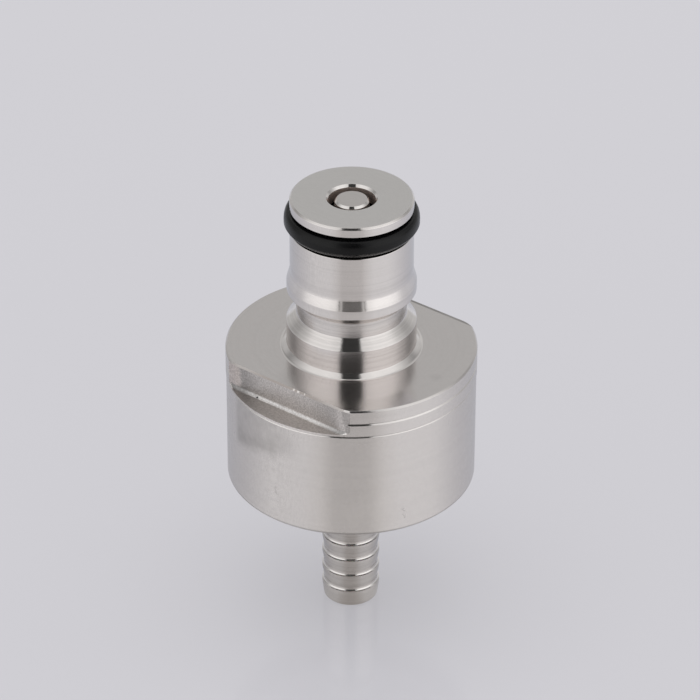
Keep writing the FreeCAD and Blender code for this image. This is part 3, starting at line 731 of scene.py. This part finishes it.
def make_post_ring():
    turns = (math.pi / 2 + math.pi * step / 20 for step in range(20))
    inside = [(math.cos(turn), math.sin(turn)) for turn in turns]
    return turned("post_ring", [
        (RING_CENTRE + RING_SECTION * across, RING_HEIGHT + RING_SECTION * along)
        for across, along in (*RING_OUTSIDE, *inside)], 192)


post_ring = make_post_ring()
smooth(post_ring, 24)
finish_piece(post_ring, post_rubber, "cap", "black_rubber", "post_o_ring")


# Poppet: the pin in the valve hole with its centre mark, head, spring pilot and tail

def make_poppet():
    return turned("poppet_pin", [
        (0.0, PIN_TIP - 0.05),
        (0.25, PIN_TIP, 0.04),
        (PIN_RADIUS - POPPET_CHAMFER, PIN_TIP, 0.05),
        (PIN_RADIUS, PIN_TIP - POPPET_CHAMFER, 0.05),
        (PIN_RADIUS, HEAD_TOP, 0.1),
        (HEAD_RADIUS, HEAD_TOP, 0.1),
        (HEAD_RADIUS, HEAD_FOOT, 0.1),
        (PILOT_RADIUS, HEAD_FOOT, 0.1),
        (PILOT_RADIUS, PILOT_FOOT, 0.1),
        (STEM_RADIUS, PILOT_FOOT, 0.1),
        (STEM_RADIUS, STEM_FOOT + POPPET_CHAMFER, 0.05),
        (STEM_RADIUS - POPPET_CHAMFER, STEM_FOOT, 0.05),
        (0.0, STEM_FOOT),
    ], 128)


def poppet_zone(place, normal):
    """The chamfer round the tip gets a painted highlight, the rest is dull."""
    chamfer = 0.3 < normal.z < 0.9 and place.z > TOP - 0.6 and place.xy.length > 1.8
    return bright_edge_painted_highlight if chamfer else pin_steel


poppet = make_poppet()
smooth(poppet)
finish_piece(poppet, None, "poppet", "pin_steel", "poppet_stem")
paint(poppet, poppet_zone, pin_steel, bright_edge_painted_highlight)


# Barb fitting: ribbed tube, washer face, screw and the hexagon that turns it in

# The hollow step above each ridge: how far in from the crest, and how far above it
HOLLOW_STEP = ((0.0, 0.0), (0.09, 0.045), (0.145, 0.088), (0.182, 0.14), (0.215, 0.215),
               (0.238, 0.31), (0.255, 0.42), (0.265, 0.52))


def make_barb():
    corners = [(FLOW_RADIUS, 0.0, 0.1), (TIP_RADIUS, 0.0, 0.3)]
    for count in range(RIDGES):
        crest = FIRST_CREST + RIDGE_PITCH * count
        corners += [(CREST_RADIUS, crest - RIDGE_LAND, 0.1)]
        corners += [(CREST_RADIUS - inward, crest + rise) for inward, rise in HOLLOW_STEP]
    corners += [
        (ROOT_RADIUS, SHANK_FOOT - 0.45, 0.1),
        (SHANK_RADIUS, SHANK_FOOT, 0.1),
        (SHANK_RADIUS, HEXAGON_FOOT, 0.2),
        (CORE_RADIUS, HEXAGON_FOOT, 0.1),
        (CORE_RADIUS, WASHER_FOOT, 0.1),
        (WASHER_RADIUS, WASHER_FOOT, 0.1),
        (WASHER_RADIUS, ROOF, 0.1),
        (SCREW_RADIUS - SCREW_GAP, ROOF, 0.1),
        (SCREW_RADIUS - SCREW_GAP, CUP_TOP - (SCREW_RADIUS - CHAMBER_RADIUS), 0.1),
        (CHAMBER_RADIUS - SCREW_GAP, CUP_TOP, 0.05),
        (CUP_RADIUS, CUP_TOP, 0.1),
        (CUP_RADIUS, CUP_FOOT),
        (FLOW_RADIUS, CUP_FOOT - (CUP_RADIUS - FLOW_RADIUS)),
    ]
    return turned("barb_tube", corners, 160)


def make_hexagon():
    """Six flats of a round blank, with the corners chamfered on the lower side."""
    inside, outside, top = 3.8, 8.15, WASHER_FOOT - 0.01
    blank = turned("barb_hexagon", [
        (inside, HEXAGON_FOOT), (7.3, HEXAGON_FOOT, 0.05), (outside, HEXAGON_FOOT + 0.45, 0.05),
        (outside, top), (inside, top)], 96)
    nothing_selected()
    bpy.ops.mesh.primitive_cylinder_add(vertices=6, radius=HEXAGON_ACROSS / math.sqrt(3), depth=6,
                                        location=(0, 0, 30.5), rotation=(0, 0, math.radians(30)))
    prism = bpy.context.object
    bpy.ops.object.transform_apply(location=True, rotation=True, scale=True)
    combine(blank, prism, "INTERSECT")
    return blank


barb_tube = make_barb()
smooth(barb_tube)
finish_piece(barb_tube, None, "cap", "turned_steel", "barb_fitting")


def barb_zone(place, normal):
    """The steps above the ridges get a painted highlight, brighter than the ridges."""
    step = 2 < place.z < 13 and place.xy.length > 3.4 and normal.z > 0.25
    return bright_edge_painted_highlight if step else barb_steel


paint(barb_tube, barb_zone, barb_steel, bright_edge_painted_highlight)
barb_hexagon = make_hexagon()
smooth(barb_hexagon, 30)
finish_piece(barb_hexagon, barb_steel, "cap", "turned_steel")


# Bottle thread inside the skirt: one ridge that runs round the bore and fades out at both ends

def make_bottle_thread():
    foot, head = THREAD_FOOT, THREAD_FOOT + THREAD_PITCH * THREAD_TURNS
    middle = (THREAD_ROOT + THREAD_CREST) / 2
    nothing_selected()
    bpy.ops.mesh.primitive_plane_add(size=1, location=(middle, 0, foot),
                                     rotation=(math.pi / 2, 0, 0))
    ridge = bpy.context.object
    ridge.name = "bottle_thread"
    bpy.ops.object.transform_apply(location=True, rotation=True, scale=True)
    for corner in ridge.data.vertices:
        inner = corner.co.x < middle
        corner.co.x = THREAD_CREST if inner else THREAD_ROOT
        corner.co.z = foot + math.copysign(0.35 if inner else 1.0, corner.co.z - foot)
    bpy.ops.object.mode_set(mode="EDIT")
    pick(ridge, lambda place: place.x < middle)
    bpy.ops.mesh.bevel(offset=0.12, segments=3, affect="VERTICES")
    bpy.ops.object.mode_set(mode="OBJECT")
    wind(ridge, THREAD_TURNS, head - foot, 96)
    face_outwards(ridge)
    for corner in ridge.data.vertices:
        radius = math.hypot(corner.co.x, corner.co.y)
        turn = math.atan2(corner.co.y, corner.co.x) % math.tau
        height = min((foot + THREAD_PITCH * (turn / math.tau + lap) for lap in range(3)),
                     key=lambda height: abs(height - corner.co.z))
        height = min(max(height, foot), head)
        run = min(height - foot, head - height) / THREAD_PITCH * 360
        fade = min(1.0, max(run, 0.0) / THREAD_FADE)
        wanted = THREAD_ROOT - (THREAD_ROOT - radius) * fade
        corner.co.x *= wanted / radius
        corner.co.y *= wanted / radius
    return ridge


bottle_thread = make_bottle_thread()
smooth(bottle_thread, 40)
finish_piece(bottle_thread, skirt_steel, "cap", "turned_steel")


# Gasket under the roof

gasket = turned("gasket_ring", [
    (GASKET_INSIDE, GASKET_FOOT, 0.15), (GASKET_OUTSIDE, GASKET_FOOT, 0.25),
    (GASKET_OUTSIDE, ROOF, 0.25), (GASKET_INSIDE, ROOF, 0.15)], 160)
smooth(gasket, 60)
finish_piece(gasket, silicone, "cap", "clear_silicone", "bottle_gasket")


# Poppet spring: a closed coil at each end and six open coils

def wire_section(name, height):
    angles = [math.tau * step / 16 for step in range(16)]
    return draw(name, [(COIL_RADIUS + WIRE_RADIUS * math.cos(angle),
                        height + WIRE_RADIUS * math.sin(angle)) for angle in angles])


def make_spring():
    ends = [turn_round(wire_section("end_coil", height), 64)
            for height in (SPRING_FOOT, SPRING_HEAD)]
    coils = wire_section("poppet_coils", SPRING_FOOT)
    bpy.ops.object.mode_set(mode="OBJECT")
    wind(coils, COILS, SPRING_HEAD - SPRING_FOOT, 48)
    face_outwards(coils, *ends)
    return coils


spring = make_spring()
smooth(spring, 60)
finish_piece(spring, wire, "cap", "spring_steel", "poppet_spring")
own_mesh(spring)


# CAD pieces inside the valve keep their shape and get their finish

for node, material in (("poppet_seal", black_rubber), ("barb_o_ring", black_rubber),
                       ("poppet_guide", acetal)):
    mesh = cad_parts[node].data
    mesh.materials.clear()
    mesh.materials.append(material)


# Floor, light and background

PALE = (0.60, 0.595, 0.63)


def seen_directly(nodes):
    """One for the camera's own rays and those that gloss or glass throws on, else zero."""
    path = nodes.add("ShaderNodeLightPath")
    rays = [path.outputs[f"Is {kind} Ray"] for kind in ("Camera", "Glossy", "Transmission")]
    return nodes.math("MINIMUM", nodes.plus(*rays), 1.0)


# Colour of the table's glow by the share of a half turn from the front. The sides are the same
# for both; the first is for close to the cap and far from it, the second for the ring between.
SIDE_GLOW = [(0.22, (0.345, 0.342, 0.342)), (0.38, (0.35, 0.348, 0.35)),
             (0.57, (0.27, 0.27, 0.285)), (0.78, (0.195, 0.205, 0.235))]
FRONT_GLOW = [(0.0, (0.250, 0.237, 0.224)), (0.11, (0.256, 0.244, 0.232))] + SIDE_GLOW
MIDDLE_GLOW = [(0.0, (0.325, 0.315, 0.295)), (0.11, (0.325, 0.315, 0.295))] + SIDE_GLOW


def table_glow(nodes):
    """Painted light that gloss sees on the table: cooler and dimmer round the back of the cap,
    warmer and dimmer at the front, brighter on the right."""
    place = nodes.parts()
    turn = nodes.math("ARCTAN2", nodes.math("ABSOLUTE", place["X"]), nodes.times(place["Y"], -1.0))
    turn = nodes.math("DIVIDE", turn, math.pi)
    far = nodes.add("ShaderNodeVectorMath", {0: nodes.place}, operation="LENGTH").outputs["Value"]
    ring = nodes.times(nodes.ramp(far, 0.024, 0.034), nodes.ramp(far, 0.062, 0.078, 1.0, 0.0))
    glow = nodes.mix(ring, nodes.profile(turn, FRONT_GLOW), nodes.profile(turn, MIDDLE_GLOW))
    lean = nodes.times(nodes.ramp(nodes.math("DIVIDE", place["X"], far), -1.0, 1.0, 0.925, 1.09),
                       nodes.ramp(far, 0.006, 0.024, 1.09, 1.0),
                       nodes.ramp(far, 0.076, 0.092, 1.0, 1.06))
    return nodes.add("ShaderNodeVectorMath", {0: glow, "Scale": lean}, operation="SCALE").outputs[0]


def make_floor():
    """A pale glossy table that glows with painted light. Part of its paleness is emitted to the
    rays that see it, which softens the shadow under the cap as the photograph has it."""
    nothing_selected()
    bpy.ops.mesh.primitive_plane_add(size=12, location=(0, 0, 0),
                                     rotation=(0, 0, math.radians(AZIMUTH)))
    floor = bpy.context.object
    floor.name = "table_top"
    nodes = Nodes("pale_table")
    direct = seen_directly(nodes)
    cloud = nodes.noise(nodes.place, 6.0, 2.0, 0.5)
    lit = nodes.mix(nodes.ramp(cloud, 0.3, 0.7), (0.268, 0.265, 0.278, 1), (0.278, 0.275, 0.288, 1))
    mirrored = nodes.add("ShaderNodeLightPath").outputs["Is Glossy Ray"]
    glow = nodes.mix(mirrored, (0.335, 0.33, 0.35, 1), table_glow(nodes))
    nodes.hold(IOR=1.5)
    floor.data.materials.append(nodes.set(
        Base_Color=nodes.mix(direct, (0.56, 0.555, 0.58, 1), lit),
        Roughness=nodes.ramp(cloud, 0.3, 0.7, 0.11, 0.13),
        Emission_Color=glow, Emission_Strength=direct))


def light_world():
    """Camera, gloss and glass rays see the pale background; other rays get an even soft light."""
    world = bpy.data.worlds.new("studio")
    bpy.context.scene.world = world
    world.use_nodes = True
    tree = world.node_tree
    tree.nodes.clear()
    path = tree.nodes.new("ShaderNodeLightPath")
    soft, pale = (tree.nodes.new("ShaderNodeBackground") for _ in range(2))
    for shader, colour, strength in ((soft, (1, 1, 1.02, 1), 0.75), (pale, (*PALE, 1), 1.0)):
        shader.inputs[0].default_value, shader.inputs[1].default_value = colour, strength
    first, both = (tree.nodes.new("ShaderNodeMath") for _ in range(2))
    for node in (first, both):
        node.operation, node.use_clamp = "ADD", True
    mix = tree.nodes.new("ShaderNodeMixShader")
    out = tree.nodes.new("ShaderNodeOutputWorld")
    for source, socket in ((path.outputs["Is Camera Ray"], first.inputs[0]),
                           (path.outputs["Is Glossy Ray"], first.inputs[1]),
                           (first.outputs[0], both.inputs[0]),
                           (path.outputs["Is Transmission Ray"], both.inputs[1]),
                           (both.outputs[0], mix.inputs[0]),
                           (soft.outputs[0], mix.inputs[1]),
                           (pale.outputs[0], mix.inputs[2]),
                           (mix.outputs[0], out.inputs[0])):
        tree.links.new(source, socket)


def soft_box(name, place, aim, width, height, power):
    bpy.ops.object.light_add(type="AREA", location=place)
    lamp = bpy.context.object
    lamp.name = name
    lamp.data.shape, lamp.data.size, lamp.data.size_y = "RECTANGLE", width, height
    lamp.data.energy = power
    lamp.visible_glossy = False
    lamp.rotation_euler = (Vector(aim) - Vector(place)).to_track_quat("-Z", "Y").to_euler()


# Brightness of the tent's dark gap, and of its cloth by the share of a half turn from the gap at
# the front: low round the table, and higher up
GAP = 0.04
ROUND_TENT = [(0.0, 0.52), (0.122, 0.66), (0.156, 0.92), (0.233, 1.03), (0.34, 1.03), (0.39, 0.99),
              (0.43, 0.95), (0.47, 0.86), (0.51, 0.70), (0.555, 0.58), (0.60, 0.48), (0.64, 0.37),
              (0.68, 0.27), (0.80, 0.40), (0.86, 0.55)]
OVER_TENT = [(0.0, 0.72), (0.18, 0.78), (0.29, 0.90), (0.50, 0.83), (0.60, 0.70), (0.72, 0.58),
             (0.84, 0.53), (0.95, 0.60)]


def light_tent():
    """The tent of white cloth round the table, which only reflections see. Its dark gap faces
    the front, where the steel shows it as one dark block down the middle."""
    nothing_selected()
    bpy.ops.mesh.primitive_uv_sphere_add(segments=48, ring_count=24, radius=1.5,
                                         rotation=(0, 0, math.radians(AZIMUTH)))
    tent = bpy.context.object
    tent.name = "light_tent"
    nodes = Nodes("tent_cloth")
    toward = nodes.add("ShaderNodeVectorMath", {0: nodes.place}, operation="NORMALIZE").outputs[0]
    x, y, z = nodes.parts(toward)
    lift = nodes.times(nodes.math("ARCSINE", z), 180 / math.pi)
    turn = nodes.math("ARCTAN2", x, nodes.times(y, -1.0))
    half_turn = nodes.math("ABSOLUTE", nodes.math("DIVIDE", turn, math.pi))
    turn = nodes.math("ABSOLUTE", nodes.plus(nodes.times(turn, 180 / math.pi),
                                             nodes.ramp(lift, 0, 57, -1.2, 1.3)))

    def blend(factor, first, second):
        return nodes.plus(nodes.times(factor, second),
                          nodes.times(nodes.math("SUBTRACT", 1.0, factor), first))

    light = blend(nodes.ramp(lift, 36, 52), nodes.profile(half_turn, ROUND_TENT),
                  nodes.profile(half_turn, OVER_TENT))
    light = nodes.times(light, nodes.ramp(x, -1.0, 1.0, 0.94, 1.06))
    # Low down the cloth is dimmer at the sides, and brighter a little further round
    low = nodes.times(nodes.ramp(turn, 82, 97), nodes.ramp(lift, 8, 16, 0.42, 0.0),
                      nodes.ramp(turn, 105, 118, 1.0, 0.0))
    light = nodes.times(light, nodes.math("SUBTRACT", 1.0, low))
    side = nodes.times(nodes.ramp(turn, 108, 120), nodes.ramp(turn, 136, 156, 0.5, 0.08),
                       nodes.ramp(lift, 19, 27, 1.0, 0.0), nodes.ramp(turn, 156, 164, 1.0, 0.0))
    light = nodes.times(light, nodes.plus(side, 1.0))
    # The gap widens as it rises, and a narrow seam stands beside it at the bottom
    edge = nodes.ramp(lift, 0, 57, 16.8, 23.2)
    gap = nodes.times(nodes.ramp(nodes.math("SUBTRACT", turn, edge), -1.6, 1.6, 1.0, 0.0),
                      nodes.ramp(lift, 78, 82, 1.0, 0.0))
    beside = nodes.math("ABSOLUTE", nodes.math("SUBTRACT", turn, 21.2))
    seam = nodes.times(nodes.ramp(beside, 0.9, 1.6, 1.0, 0.0), nodes.ramp(lift, 10, 14, 1.0, 0.0))
    light = blend(nodes.math("MAXIMUM", gap, seam), light, GAP)
    nodes.hold(Specular_IOR_Level=0.0)
    tent.data.materials.append(nodes.set(
        Base_Color=(0, 0, 0, 1), Roughness=1.0, Emission_Color=(1.0, 0.995, 0.99, 1),
        Emission_Strength=light))
    tent.visible_camera = tent.visible_diffuse = tent.visible_shadow = False
    tent.visible_transmission = False


make_floor()
light_world()
soft_box("overhead_box", (0, 0, 1.15), (0, 0, 0), 1.3, 1.3, 5.0)
light_tent()
bpy.context.scene.view_settings.view_transform = "Standard"
